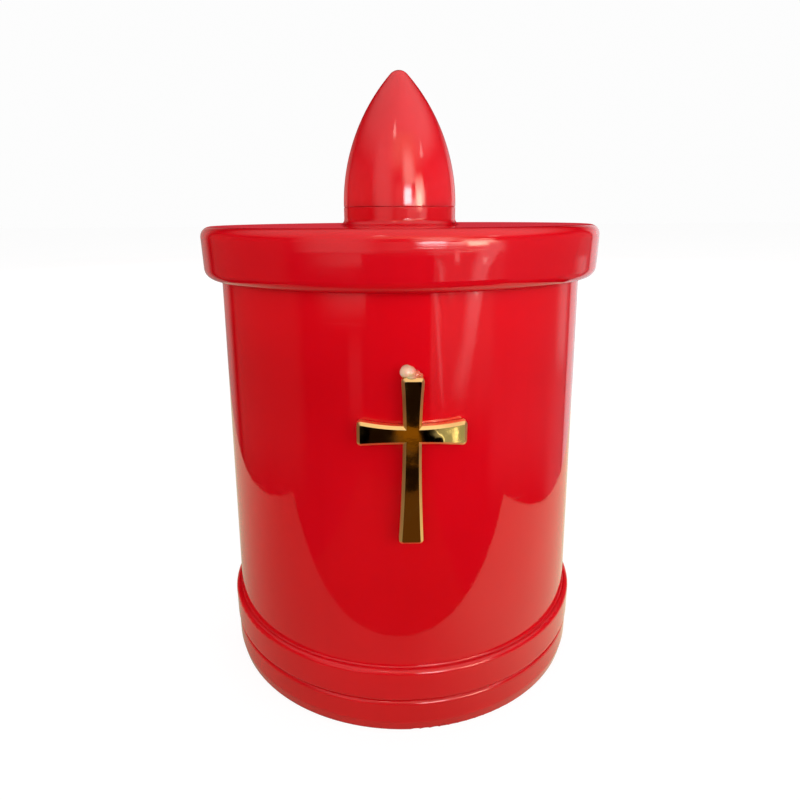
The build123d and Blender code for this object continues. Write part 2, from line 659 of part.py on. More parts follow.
with BuildPart() as board_screws:
    for y in (-BOARD_SCREW_Y, BOARD_SCREW_Y):
        screw(0, y, BOARD_TOP, 1.8, 1.1, 0.85, 3.4, points_up=False)
save(board_screws, "board_screws")

with BuildPart() as led_body:
    disc(0, 0, LED_SEAT, LED_SEAT + 1.0, LED_RADIUS + 0.4)
    disc(0, 0, LED_SEAT, LED_SEAT + 6.0, LED_RADIUS)
    with Locations((0, 0, LED_SEAT + 6.0)):
        Sphere(LED_RADIUS)
save(led_body, "led_body")

with BuildPart() as led_legs:
    for x in (-LED_PITCH, LED_PITCH):
        block((x - 0.25, x + 0.25), (-0.25, 0.25), (BOARD_BOTTOM - 0.9, LED_SEAT))
save(led_legs, "led_legs")

resistor_z = BOARD_TOP + 1.3
with BuildPart() as resistor_body:
    with BuildSketch(Plane((RESISTOR_X, 0, resistor_z), x_dir=(1, 0, 0), z_dir=(0, 1, 0))):
        Circle(1.0)
    extrude(amount=3.0, both=True)
    fillet(edges().filter_by(GeomType.CIRCLE), 0.35)
save(resistor_body, "resistor_body")

with BuildPart() as resistor_leads:
    for way in (1, -1):
        knee = (RESISTOR_X, way * RESISTOR_SPAN, resistor_z)
        with BuildLine() as lead:
            FilletPolyline(
                (RESISTOR_X, way * 3.0, resistor_z),
                knee,
                (RESISTOR_X, way * RESISTOR_SPAN, BOARD_BOTTOM - 0.7),
                radius=0.8,
            )
        with BuildSketch(Plane(lead.line @ 0, z_dir=lead.line % 0)):
            Circle(0.25)
        sweep()
save(resistor_leads, "resistor_leads")


# ---- hook-up wires ------------------------------------------------------------------------
def bend_radii(points):
    """The bend at each corner of a route: as large as the runs beside it allow."""
    spots = [Vector(*point) for point in points]
    radii = []
    for before, here, after in zip(spots, spots[1:], spots[2:]):
        turn = radians((here - before).get_angle(after - here))
        radii.append(0.45 * min((here - before).length, (after - here).length) / tan(turn / 2))
    return radii


for name, route in WIRE_ROUTES.items():
    radii = bend_radii(route)
    print(name, "bend radii:", [round(radius, 1) for radius in radii])
    with BuildPart() as wire:
        with BuildLine() as path:
            FilletPolyline(*route, radius=radii)
        with BuildSketch(Plane(path.line @ 0, z_dir=path.line % 0)):
            Circle(WIRE_RADIUS)
        sweep()
    save(wire, name)
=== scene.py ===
import json
import math

import bmesh
import bpy
from mathutils import Matrix, Vector


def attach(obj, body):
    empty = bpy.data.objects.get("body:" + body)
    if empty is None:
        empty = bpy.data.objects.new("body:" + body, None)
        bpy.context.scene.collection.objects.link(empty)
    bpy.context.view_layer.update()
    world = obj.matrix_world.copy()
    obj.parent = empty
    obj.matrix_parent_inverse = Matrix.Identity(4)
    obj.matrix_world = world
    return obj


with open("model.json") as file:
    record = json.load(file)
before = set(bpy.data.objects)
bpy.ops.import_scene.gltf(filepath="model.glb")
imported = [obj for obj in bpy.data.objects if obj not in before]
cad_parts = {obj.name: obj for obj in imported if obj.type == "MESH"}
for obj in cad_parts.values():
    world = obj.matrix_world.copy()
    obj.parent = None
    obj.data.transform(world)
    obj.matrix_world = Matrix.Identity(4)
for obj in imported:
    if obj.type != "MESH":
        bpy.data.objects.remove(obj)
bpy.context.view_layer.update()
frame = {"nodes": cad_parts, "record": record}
NODES = frame["nodes"]
SCENE = bpy.context.scene

# ---- camera ---------------------------------------------------------------------------------
EYE = Vector((-0.00656, -0.1340, 0.0954))
PITCH = math.radians(16.78)
ROLL = math.radians(0.41)
TURN = math.atan2(-EYE.x, -EYE.y) - 0.0015


def make_camera():
    """A wide lens close to the lamp, a little above its lid, looking down."""
    data = bpy.data.cameras.new("camera")
    data.lens = 27.62
    data.sensor_width = 36.0
    data.clip_start = 0.005
    data.clip_end = 50.0
    camera = bpy.data.objects.new("camera", data)
    SCENE.collection.objects.link(camera)
    ahead = Vector((math.sin(TURN) * math.cos(PITCH), math.cos(TURN) * math.cos(PITCH), -math.sin(PITCH)))
    right = ahead.cross(Vector((0, 0, 1))).normalized()
    up = right.cross(ahead)
    tilted_right = right * math.cos(ROLL) - up * math.sin(ROLL)
    tilted_up = up * math.cos(ROLL) + right * math.sin(ROLL)
    turn = Matrix((tilted_right, tilted_up, -ahead)).transposed().to_4x4()
    camera.matrix_world = Matrix.Translation(EYE) @ turn
    SCENE.camera = camera


make_camera()


# ---- node helpers ---------------------------------------------------------------------------
class Maker:
    """A material and short ways to add nodes to it."""

    def __init__(self, name, base, roughness=0.4, metallic=0.0):
        self.mat = bpy.data.materials.new(name)
        self.mat.use_nodes = True
        self.tree = self.mat.node_tree
        self.shader = self.tree.nodes["Principled BSDF"]
        self.shader.inputs["Base Color"].default_value = (*base, 1)
        self.shader.inputs["Roughness"].default_value = roughness
        self.shader.inputs["Metallic"].default_value = metallic
        self.coords = self.add("ShaderNodeTexCoord").outputs["Object"]

    def add(self, kind, **settings):
        node = self.tree.nodes.new(kind)
        for key, value in settings.items():
            setattr(node, key, value)
        return node

    def link(self, source, socket):
        self.tree.links.new(source, socket)

    def set(self, **values):
        for key, value in values.items():
            self.shader.inputs[key.replace("_", " ")].default_value = value

    def axis(self, letter, vector=None):
        """One component of the object coordinates, or of another vector."""
        split = self.add("ShaderNodeSeparateXYZ")
        self.link(vector or self.coords, split.inputs[0])
        return split.outputs[letter]

    def scaled(self, colour, factor):
        node = self.add("ShaderNodeVectorMath", operation="SCALE")
        self.link(colour, node.inputs[0])
        self.link(factor, node.inputs["Scale"])
        return node.outputs[0]

    def stretched(self, scale):
        """Object coordinates scaled apart along X, Y and Z."""
        mapping = self.add("ShaderNodeMapping")
        mapping.inputs["Scale"].default_value = scale
        self.link(self.coords, mapping.inputs["Vector"])
        return mapping.outputs["Vector"]

    def noise(self, scale, detail=3.0, rough=0.5, coords=None):
        node = self.add("ShaderNodeTexNoise")
        node.inputs["Scale"].default_value = scale
        node.inputs["Detail"].default_value = detail
        node.inputs["Roughness"].default_value = rough
        self.link(coords or self.coords, node.inputs["Vector"])
        return node.outputs["Fac"]

    def cells(self, scale, coords=None, feature="F1"):
        node = self.add("ShaderNodeTexVoronoi", feature=feature)
        node.inputs["Scale"].default_value = scale
        self.link(coords or self.coords, node.inputs["Vector"])
        return node

    def ramp(self, value, low, high, to_low=0.0, to_high=1.0, smooth=True):
        node = self.add("ShaderNodeMapRange", interpolation_type="SMOOTHSTEP" if smooth else "LINEAR")
        self.link(value, node.inputs["Value"])
        for key, number in (("From Min", low), ("From Max", high), ("To Min", to_low), ("To Max", to_high)):
            node.inputs[key].default_value = number
        return node.outputs["Result"]

    def math(self, kind, a, b=None):
        node = self.add("ShaderNodeMath", operation=kind)
        for socket, value in zip(node.inputs, (a, b)):
            if value is None:
                continue
            if isinstance(value, (int, float)):
                socket.default_value = value
            else:
                self.link(value, socket)
        return node.outputs[0]

    def mix(self, share, a, b):
        """Colour a where share is 0 and b where it is 1."""
        node = self.add("ShaderNodeMix", data_type="RGBA")
        self.link(share, node.inputs[0])
        for socket, value in ((node.inputs[6], a), (node.inputs[7], b)):
            if isinstance(value, tuple):
                socket.default_value = (*value, 1)
            else:
                self.link(value, socket)
        return node.outputs[2]

    def bump(self, height, distance, strength=1.0, under=None):
        node = self.add("ShaderNodeBump")
        node.inputs["Distance"].default_value = distance
        node.inputs["Strength"].default_value = strength
        self.link(height, node.inputs["Height"])
        if under is not None:
            self.link(under, node.inputs["Normal"])
        return node.outputs["Normal"]

    def colour(self, source):
        self.link(source, self.shader.inputs["Base Color"])

    def roughness(self, source):
        self.link(source, self.shader.inputs["Roughness"])

    def normal(self, source):
        self.link(source, self.shader.inputs["Normal"])


def speck_mask(maker, scale, size, share):
    """1 on sparse round specks: a share of the cells hold one of this size, in cell units."""
    cells = maker.cells(scale)
    near = maker.ramp(cells.outputs["Distance"], size * 0.6, size, 1.0, 0.0)
    split = maker.add("ShaderNodeSeparateColor")
    maker.link(cells.outputs["Color"], split.inputs[0])
    chosen = maker.ramp(split.outputs[0], 1 - share, 1 - share + 0.001, smooth=False)
    return maker.math("MULTIPLY", near, chosen)


def red_plastic(name, base, dark, roughness=0.05, dust=0.06, wave=1.0, crown=None):
    """Glossy moulded plastic: cloudy dye, painted light under and on the lid and painted shade towards the foot, a
    faintly rippled skin, hair scratches and dust.

    crown is the height from which the skin leans back, as on a moulding with a crowned side.
    """
    m = Maker(name, base, roughness)
    cloud = m.ramp(m.noise(28.0, 2.0), 0.32, 0.68)
    dye_and_painted_light = m.mix(cloud, base, dark)
    flow = m.ramp(m.noise(5.0, 3.0, coords=m.stretched((70.0, 70.0, 5.0))), 0.45, 0.75, 0.0, 0.35)
    dye_and_painted_light = m.mix(flow, dye_and_painted_light, dark)
    height = m.axis("Z")
    # Painted light: the red is made up to 18 % lighter from 66 mm up, under the lid where its shade falls and over the
    # lid itself. Painted shade makes it up to 6 % darker towards the foot.
    painted_light_under_lid = m.ramp(height, 0.066, 0.0835, 1.0, 1.18)
    dye_and_painted_light = m.scaled(dye_and_painted_light, m.math("MULTIPLY", painted_light_under_lid, m.ramp(height, 0.0, 0.055, 0.94, 1.0)))
    specks = speck_mask(m, 130.0, 0.035, dust)
    m.colour(m.mix(specks, dye_and_painted_light, (0.80, 0.42, 0.36)))
    hairs = m.ramp(m.noise(1.0, 2.0, coords=m.stretched((60.0, 60.0, 2600.0))), 0.60, 0.78)
    haze = m.ramp(m.noise(45.0, 4.0), 0.35, 0.75, roughness * 0.85, roughness * 1.35)
    rough = m.math("ADD", haze, m.math("MULTIPLY", hairs, 0.03))
    rough = m.math("ADD", rough, m.math("MULTIPLY", specks, 0.4))
    m.roughness(rough)
    broad = m.bump(m.noise(34.0, 1.0), 0.00035 * wave, 0.35)
    peel = m.bump(m.noise(420.0, 2.0), 0.00003, 0.25, broad)
    scratched = m.bump(m.math("MULTIPLY", hairs, -1.0), 0.00001, 0.3, peel)
    skin = m.bump(specks, 0.00008, 0.6, scratched)
    if crown:
        rise = m.math("MAXIMUM", m.math("SUBTRACT", height, crown), 0.0)
        rise = m.math("MINIMUM", rise, 0.0042)
        skin = m.bump(m.math("MULTIPLY", m.math("MULTIPLY", rise, rise), -9.5), 1.0, 1.0, skin)
    m.normal(skin)
    m.set(IOR=1.49, Subsurface_Weight=0.35, Subsurface_Scale=0.005)
    m.shader.inputs["Subsurface Radius"].default_value = (1.0, 0.12, 0.10)
    return m.mat


def lens_plastic():
    """Thick translucent red, milky inside, with a clean skin."""
    m = Maker("red_lens", (0.78, 0.013, 0.026), 0.05)
    cloud = m.ramp(m.noise(70.0, 3.0), 0.35, 0.7)
    m.colour(m.mix(cloud, (0.79, 0.017, 0.026), (0.73, 0.012, 0.019)))
    m.roughness(m.ramp(m.noise(90.0, 4.0), 0.35, 0.75, 0.035, 0.07))
    skin = m.bump(m.noise(60.0, 1.0), 0.0002, 0.3)
    m.normal(m.bump(m.noise(600.0, 2.0), 0.00002, 0.2, skin))
    m.set(IOR=1.55, Subsurface_Weight=0.45, Subsurface_Scale=0.005)
    m.shader.inputs["Subsurface Radius"].default_value = (1.0, 0.18, 0.15)
    return m.mat


def gilt_plating():
    """Bright vacuum plating over a moulded core, softly rippled, rubbed coppery in places, with a painted highlight on
    its right arm's face.
    """
    m = Maker("gilt", (0.95, 0.62, 0.18), 0.07, 1.0)
    rubbed = m.ramp(m.noise(260.0, 4.0), 0.55, 0.8)
    normals = m.add("ShaderNodeTexCoord").outputs["Normal"]
    edge = m.ramp(m.axis("Y", normals), -0.93, -0.80)
    wander = m.math("ADD", m.axis("X"), m.math("MULTIPLY", m.noise(420.0, 2.0), 0.0016))
    lean_and_painted_sheen = m.ramp(wander, 0.0036, 0.0066)
    plating = m.mix(rubbed, (0.98, 0.70, 0.24), (0.85, 0.50, 0.17))
    # Painted highlight: the right arm's face gets plain bright yellow plating in place of the rubbed patches, for the
    # window light it catches. The same share also tilts its normals further down.
    plating = m.mix(m.math("MULTIPLY", lean_and_painted_sheen, m.math("SUBTRACT", 1.0, edge)), plating, (0.94, 0.74, 0.22))
    m.colour(m.mix(edge, plating, (1.0, 0.66, 0.26)))
    polish = m.ramp(m.noise(500.0, 4.0), 0.4, 0.8, 0.05, 0.16)
    m.roughness(m.math("ADD", polish, m.math("MULTIPLY", edge, 0.26)))
    fall = m.math("MULTIPLY", m.math("SUBTRACT", m.axis("Z"), 0.0605), -0.133)
    warp = m.bump(m.math("MULTIPLY", lean_and_painted_sheen, fall), 1.0)
    ripple = m.bump(m.noise(150.0, 1.0), 0.00035, 0.35, warp)
    m.normal(m.bump(m.noise(1500.0, 2.0), 0.00001, 0.3, ripple))
    return m.mat


def glue_wax():
    """Milky hot-melt glue."""
    m = Maker("hot_glue", (0.86, 0.60, 0.34), 0.18)
    cloudy = m.mix(m.ramp(m.noise(500.0, 3.0), 0.35, 0.7), (0.90, 0.56, 0.40), (0.80, 0.46, 0.26))
    cloudy = m.mix(m.ramp(m.axis("Z"), 0.0700, 0.0708), (0.42, 0.30, 0.12), cloudy)
    m.colour(m.mix(m.ramp(m.axis("X"), -0.0004, 0.0010), cloudy, (0.68, 0.14, 0.07)))
    m.normal(m.bump(m.noise(900.0, 2.0), 0.00008, 0.4))
    m.set(Subsurface_Weight=0.5, Subsurface_Scale=0.002)
    return m.mat


def metal(name, base, roughness, grain=(900.0, 900.0, 900.0), strength=0.25):
    """Plated or tinned metal with a fine grain and dull patches."""
    m = Maker(name, base, roughness, 1.0)
    grains = m.noise(1.0, 4.0, coords=m.stretched(grain))
    dull = m.ramp(m.noise(300.0, 4.0), 0.4, 0.75)
    darker = tuple(0.72 * c for c in base)
    m.colour(m.mix(dull, base, darker))
    spread = m.ramp(grains, 0.3, 0.75, roughness * 0.7, roughness * 1.5)
    m.roughness(m.math("ADD", spread, m.math("MULTIPLY", dull, 0.08)))
    m.normal(m.bump(grains, 0.00002, strength))
    return m.mat


def plastic(name, base, roughness, grain=1400.0, depth=0.00003):
    """Dull moulded plastic or wire insulation with a fine grain."""
    m = Maker(name, base, roughness)
    patches = m.ramp(m.noise(120.0, 3.0), 0.35, 0.7)
    m.colour(m.mix(patches, base, tuple(0.82 * c for c in base)))
    fine = m.noise(grain, 3.0)
    m.roughness(m.ramp(fine, 0.3, 0.7, roughness * 0.85, roughness * 1.15))
    m.normal(m.bump(fine, depth, 0.4))
    m.set(IOR=1.5)
    return m.mat


def cell_film():
    """The cells' plain shrink film: near black, with a copper-coloured band at the nub end."""
    m = Maker("cell_film", (0.02, 0.022, 0.03), 0.25)
    split = m.add("ShaderNodeSeparateXYZ")
    m.link(m.coords, split.inputs[0])
    along = m.math("MULTIPLY", split.outputs["X"], m.math("SIGN", split.outputs["Y"]))
    band = m.ramp(along, 0.0108, 0.0110)
    scuffs = m.ramp(m.noise(220.0, 4.0), 0.45, 0.8, 0.0, 0.5)
    film = m.mix(band, (0.02, 0.022, 0.03), (0.62, 0.25, 0.09))
    m.colour(m.mix(scuffs, film, (0.10, 0.09, 0.08)))
    m.roughness(m.ramp(m.noise(300.0, 3.0), 0.3, 0.8, 0.18, 0.38))
    m.normal(m.bump(m.noise(160.0, 2.0), 0.0001, 0.25))
    return m.mat


def board_laminate():
    """Brown paper laminate with a fibrous streak and darker flecks."""
    m = Maker("board_laminate", (0.40, 0.24, 0.10), 0.5)
    fibre = m.noise(1.0, 5.0, coords=m.stretched((2500.0, 260.0, 260.0)))
    flecks = speck_mask(m, 1500.0, 0.2, 0.2)
    brown = m.mix(m.ramp(fibre, 0.35, 0.7), (0.46, 0.28, 0.12), (0.30, 0.17, 0.07))
    m.colour(m.mix(flecks, brown, (0.16, 0.09, 0.04)))
    m.normal(m.bump(fibre, 0.00004, 0.4))
    return m.mat


def led_epoxy():
    """Amber-tinted clear epoxy, slightly frosted."""
    m = Maker("led_epoxy", (0.95, 0.62, 0.22), 0.12)
    m.colour(m.mix(m.ramp(m.noise(400.0, 2.0), 0.3, 0.7), (0.97, 0.70, 0.30), (0.90, 0.52, 0.16)))
    m.roughness(m.ramp(m.noise(900.0, 3.0), 0.3, 0.7, 0.08, 0.2))
    m.set(IOR=1.52, Transmission_Weight=0.6)
    return m.mat


def resistor_coat():
    """Beige lacquer with four plain colour bands."""
    m = Maker("resistor_coat", (0.66, 0.50, 0.30), 0.35)
    split = m.add("ShaderNodeSeparateXYZ")
    m.link(m.coords, split.inputs[0])
    colour = m.mix(m.ramp(m.noise(900.0, 3.0), 0.3, 0.7), (0.70, 0.54, 0.33), (0.58, 0.42, 0.24))
    for place, band in ((-0.0018, (0.35, 0.12, 0.03)), (-0.0008, (0.02, 0.02, 0.02)),
                        (0.0002, (0.30, 0.08, 0.02)), (0.0018, (0.60, 0.38, 0.06))):
        away = m.math("ABSOLUTE", m.math("SUBTRACT", split.outputs["Y"], place))
        colour = m.mix(m.ramp(away, 0.00024, 0.00028, 1.0, 0.0), colour, band)
    m.colour(colour)
    m.normal(m.bump(m.noise(1800.0, 2.0), 0.00003, 0.3))
    return m.mat


MATERIALS = {
    "red_shell": red_plastic("red_shell", (0.72, 0.0030, 0.0095), (0.66, 0.0022, 0.0075)),
    # Painted shade: the lid's red is set darker than the shell's, to offset the light it catches and the painted lift
    # it gets in red_plastic.
    "red_lid": red_plastic("red_lid", (0.62, 0.0032, 0.0098), (0.57, 0.0024, 0.0078), 0.05, 0.05, crown=0.0876),
    "red_base": red_plastic("red_base", (0.68, 0.0030, 0.0080), (0.62, 0.0020, 0.0062), 0.06, 0.08),
    "red_door": red_plastic("red_door", (0.62, 0.0035, 0.010), (0.55, 0.0022, 0.007), 0.2, 0.08),
    "red_lens": lens_plastic(),
    "gilt": gilt_plating(),
    "hot_glue": glue_wax(),
    "zinc_screws": metal("zinc_screws", (0.66, 0.66, 0.64), 0.28),
    "cell_steel": metal("cell_steel", (0.68, 0.68, 0.66), 0.22),
    "cell_film": cell_film(),
    "nickel_strip": metal("nickel_strip", (0.72, 0.70, 0.66), 0.2, (900.0, 900.0, 90.0)),
    "spring_wire": metal("spring_wire", (0.70, 0.69, 0.66), 0.2),
    "switch_steel": metal("switch_steel", (0.66, 0.66, 0.64), 0.3, (150.0, 1200.0, 1200.0)),
    "pin_tin": metal("pin_tin", (0.74, 0.74, 0.72), 0.3),
    "black_plastic": plastic("black_plastic", (0.018, 0.018, 0.019), 0.42),
    "white_plastic": plastic("white_plastic", (0.80, 0.80, 0.77), 0.38, 700.0),
    "board_laminate": board_laminate(),
    "led_epoxy": led_epoxy(),
    "resistor_coat": resistor_coat(),
    "red_insulation": plastic("red_insulation", (0.55, 0.015, 0.015), 0.4),
    "black_insulation": plastic("black_insulation", (0.02, 0.02, 0.02), 0.4),
    "yellow_insulation": plastic("yellow_insulation", (0.72, 0.48, 0.04), 0.4),
}
SLOTS = {entry["node"]: entry["material_slot"] for entry in frame["record"]["subparts"]}


def dress(piece, slot):
    """Gives a piece one material in its first slot and drops any others."""
    piece.data.materials.clear()
    piece.data.materials.append(MATERIALS[slot])


for name, node in NODES.items():
    dress(node, SLOTS[name])


# ---- the glue's bead ------------------------------------------------------------------------
def glue_bead():
    """Squeezed-out glue over the cross's head: uneven drops run together and smoothed."""
    shape = bmesh.new()
    for x, y, z, across, high in ((-0.85, -37.30, 70.95, 1.10, 1.20), (-0.35, -37.30, 70.85, 1.05, 1.12),
                                  (0.50, -37.20, 70.45, 0.95, 0.72), (1.10, -37.20, 70.25, 0.80, 0.55),
                                  (-0.1, -37.5, 70.2, 1.3, 0.55)):
        place = Matrix.Translation((x / 1000, y / 1000, z / 1000))
        size = Matrix.Diagonal((across / 1000, across / 1000, high / 1000, 1))
        bmesh.ops.create_icosphere(shape, subdivisions=4, radius=1.0, matrix=place @ size)
    mesh = bpy.data.meshes.new("glue_bead")
    shape.to_mesh(mesh)
    shape.free()
    piece = bpy.data.objects.new("glue_bead", mesh)
    SCENE.collection.objects.link(piece)
    merge = piece.modifiers.new("merge", "REMESH")
    merge.mode = "VOXEL"
    merge.voxel_size = 0.00008
    merge.use_smooth_shade = True
    soften = piece.modifiers.new("soften", "SMOOTH")
    soften.factor = 0.5
    soften.iterations = 14
    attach(piece, "lamp")
    dress(piece, "hot_glue")
    return piece


glue_bead()


# ---- stage ----------------------------------------------------------------------------------
def emission(name, colour, strength):
    mat = bpy.data.materials.new(name)
    mat.use_nodes = True
    tree = mat.node_tree
    tree.nodes.remove(tree.nodes["Principled BSDF"])
    glow = tree.nodes.new("ShaderNodeEmission")
    glow.inputs["Color"].default_value = (*colour, 1)
    glow.inputs["Strength"].default_value = strength
    tree.links.new(glow.outputs[0], tree.nodes["Material Output"].inputs["Surface"])
    return mat


def flat_quad(name, corners, mat):
    """A stage plane through four corners."""
    mesh = bpy.data.meshes.new(name)
    mesh.from_pydata([tuple(c) for c in corners], [], [tuple(range(len(corners)))])
    mesh.materials.append(mat)
    piece = bpy.data.objects.new(name, mesh)
    SCENE.collection.objects.link(piece)
    return piece


def only_in_reflections(piece):
    """A studio card that shows in gloss and nowhere else."""
    piece.visible_camera = False
    piece.visible_diffuse = False
    piece.visible_shadow = False
    piece.visible_transmission = False
    piece.visible_volume_scatter = False


def feathered(name, colour, strength, soft):
    """A glow that fades to nothing over these shares of its card at the left, right, foot and top."""
    m = Maker(name, colour)
    glow = m.add("ShaderNodeEmission")
    glow.inputs["Color"].default_value = (*colour, 1)
    glow.inputs["Strength"].default_value = strength
    uv = m.add("ShaderNodeTexCoord").outputs["UV"]
    split = m.add("ShaderNodeSeparateXYZ")
    m.link(uv, split.inputs[0])
    shares = []
    for axis, (near, far) in (("X", soft[:2]), ("Y", soft[2:])):
        if near > 0:
            shares.append(m.ramp(split.outputs[axis], 0.0, near))
        if far > 0:
            shares.append(m.ramp(split.outputs[axis], 1.0 - far, 1.0, 1.0, 0.0))
    mask = shares[0]
    for share in shares[1:]:
        mask = m.math("MULTIPLY", mask, share)
    clear = m.add("ShaderNodeBsdfTransparent")
    mixed = m.add("ShaderNodeMixShader")
    m.link(mask, mixed.inputs[0])
    m.link(clear.outputs[0], mixed.inputs[1])
    m.link(glow.outputs[0], mixed.inputs[2])
    m.link(mixed.outputs[0], m.tree.nodes["Material Output"].inputs["Surface"])
    m.tree.nodes.remove(m.shader)
    return m.mat


def pane(name, directions, strength, colour=(1, 1, 1), soft=(0.25, 0.25, 0.25, 0.25), distance=1.5):
    """A glowing card in gloss with its corners in these directions from the lamp.

    Each is an azimuth to the right of the lamp's front and an elevation, in degrees, in the order
    lower left, lower right, upper right, upper left.
    """
    corners = []
    for azimuth, elevation in directions:
        a, e = math.radians(azimuth), math.radians(elevation)
        away = Vector((math.sin(a) * math.cos(e), -math.cos(a) * math.cos(e), math.sin(e)))
        corners.append(Vector((0, 0, 0.075)) + away * distance)
    return flat_card(name, corners, strength, colour, soft)


def flat_card(name, corners, strength, colour, soft):
    """A level glowing card in gloss with soft edges."""
    piece = flat_quad(name, corners, feathered(name, colour, strength, soft))
    layer = piece.data.uv_layers.new(name="card")
    for loop, place in zip(layer.data, ((0, 0), (1, 0), (1, 1), (0, 1))):
        loop.uv = place
    only_in_reflections(piece)
    return piece


def band(name, azimuths, elevations, strength, colour=(1, 1, 1), soft=(0.25, 0.25, 0.25, 0.25), distance=1.5):
    """Panes side by side that fill these ranges of direction, at most 40 degrees wide each."""
    count = math.ceil((azimuths[1] - azimuths[0]) / 40)
    step = (azimuths[1] - azimuths[0]) / count
    for number in range(count):
        left, right = azimuths[0] + number * step, azimuths[0] + (number + 1) * step
        shares = (soft[0] if number == 0 else 0.0, soft[1] if number == count - 1 else 0.0, *soft[2:])
        corners = ((left, elevations[0]), (right, elevations[0]), (right, elevations[1]), (left, elevations[1]))
        pane(f"{name}_{number}", corners, strength, colour, shares, distance)


def pale_floor():
    """A matt white floor, faintly mottled."""
    m = Maker("floor", (0.14, 0.14, 0.14), 0.8)
    m.colour(m.mix(m.ramp(m.noise(6.0, 3.0), 0.3, 0.7), (0.14, 0.14, 0.14), (0.13, 0.13, 0.13)))
    m.set(Emission_Color=(1, 1, 1, 1), Emission_Strength=0.90)
    return m.mat


def grey_card():
    """What the floor throws back on the lamp: less than it shows."""
    return Maker("bounce", (0.24, 0.235, 0.23), 0.9).mat


def rectangle(x_low, x_high, y_low, y_high, z):
    return ((x_low, y_low, z), (x_high, y_low, z), (x_high, y_high, z), (x_low, y_high, z))


def soft_sheet():
    """The white sheet as gloss sees it: dim and warm in front, brighter to the right and behind."""
    mat = emission("sheet", (1.0, 0.97, 0.70), 1.0)
    tree = mat.node_tree
    coords = tree.nodes.new("ShaderNodeTexCoord")
    split = tree.nodes.new("ShaderNodeSeparateXYZ")
    tree.links.new(coords.outputs["Object"], split.inputs[0])
    glows = []
    for axis, low, high, top in (("X", -0.005, 0.05, 0.90), ("Y", -0.05, 0.06, 0.68)):
        ramp = tree.nodes.new("ShaderNodeMapRange")
        ramp.interpolation_type = "SMOOTHSTEP"
        tree.links.new(split.outputs[axis], ramp.inputs["Value"])
        for key, number in (("From Min", low), ("From Max", high), ("To Min", 0.30), ("To Max", top)):
            ramp.inputs[key].default_value = number
        glows.append(ramp.outputs["Result"])
    best = tree.nodes.new("ShaderNodeMath")
    best.operation = "MAXIMUM"
    tree.links.new(glows[0], best.inputs[0])
    tree.links.new(glows[1], best.inputs[1])
    glow = next(n for n in tree.nodes if n.type == "EMISSION")
    tree.links.new(best.outputs[0], glow.inputs["Strength"])
    return mat


floor = flat_quad("floor", rectangle(-6, 6, -6, 6, 0.0), pale_floor())
floor.visible_glossy = False
floor.visible_diffuse = False
floor.visible_shadow = False
bounce = flat_quad("bounce", rectangle(-6, 6, -6, 6, -0.0001), grey_card())
bounce.visible_camera = False
bounce.visible_glossy = False
bounce.visible_shadow = False
# the white sheet that the lamp stands on and the dark table beyond it, as its gloss sees them
cloth = ((-0.1285, -0.0568, -0.0002), (0.1175, -0.0783, -0.0002), (0.1175, 0.60, -0.0002), (-0.1285, 0.60, -0.0002))
sheet = flat_quad("sheet", cloth, soft_sheet())
only_in_reflections(sheet)
for name, reach, depth, colour, glow in (("table", 0.40, -0.003, (0.30, 0.13, 0.05), 0.035),
                                         ("near_table", 0.166, -0.002, (0.9, 0.36, 0.07), 0.10)):
    wood = flat_quad(name, rectangle(-0.075, 0.040, -reach, 0, depth), emission(name, colour, glow))
    only_in_reflections(wood)

# the room as gloss sees it: a curtained window front right, its bright panes, walls and ceiling
WARM = (1.0, 0.93, 0.88)
flat_card("glint", rectangle(-0.036, 0.036, -0.250, -0.202, -0.0015), 0.22, (1.0, 0.40, 0.02), (0.3, 0.2, 0.2, 0.3))
band("window", (14, 62), (-20, -1.0), 0.36, (1.0, 0.95, 0.92), (0.08, 0.30, 0.65, 0.02))
band("window_high", (9, 62), (-1.2, 16), 1.15, WARM, (0.2, 0.35, 0.0, 0.4))
pane("drape", ((28, -16), (36, -16), (55, 3), (38, 3)), 1.9, (1.0, 0.90, 0.88), (0.35, 0.35, 0.6, 0.1), 1.40)
pane("drape_edge", ((22, -16), (25, -16), (18, -2), (14.5, -2)), 1.4, (1.0, 0.92, 0.92), (0.4, 0.6, 0.4, 0.3), 1.41)
pane("drape_fold", ((20.5, -8.5), (23, -8.5), (18, -3), (15.5, -3)), 1.1, WARM, (0.4, 0.5, 0.5, 0.2), 1.39)
pane("drape_knot", ((24, -14.5), (34, -15), (42, -8), (31, -8)), 1.0, WARM, (0.5, 0.4, 0.5, 0.5), 1.38)
pane("pane_white", ((3.5, 1.4), (24, 1.4), (24, 17), (3.5, 17)), 18.0, (1.0, 0.97, 1.0), (0.35, 0.3, 0.15, 0.45), 1.3)
pane("pane_pink", ((22, 1), (31, 1), (31, 9), (22, 9)), 7.0, (1.0, 0.78, 0.72), (0.2, 0.2, 0.2, 0.7), 1.29)
pane("pane_cream", ((26, 1.5), (52, 1.5), (49, 24), (29, 24)), 10.0, (1.0, 0.80, 0.62), (0.25, 0.25, 0.1, 0.6), 1.28)
pane("pane_warm", ((30, 1), (45, 1), (44, 13), (31, 13)), 17.0, (1.0, 0.84, 0.62), (0.3, 0.3, 0.1, 0.5), 1.2)
pane("stem", ((25, -5.2), (28.5, -5.2), (28.5, -1), (25, -1)), 2.6, (1.0, 0.80, 0.76), (0.3, 0.3, 0.4, 0.0), 1.27)
pane("slit", ((40.2, -5.0), (43.6, -5.0), (43.6, -2.4), (40.2, -2.4)), 5.5, (1.0, 0.80, 0.74), (0.35, 0.35, 0.3, 0.3), 1.0)
pane("glow_spot", ((0, 13), (38, 13), (34, 44), (0, 44)), 3.7, (1.0, 0.92, 0.76), (0.45, 0.4, 0.12, 0.6), 1.6)
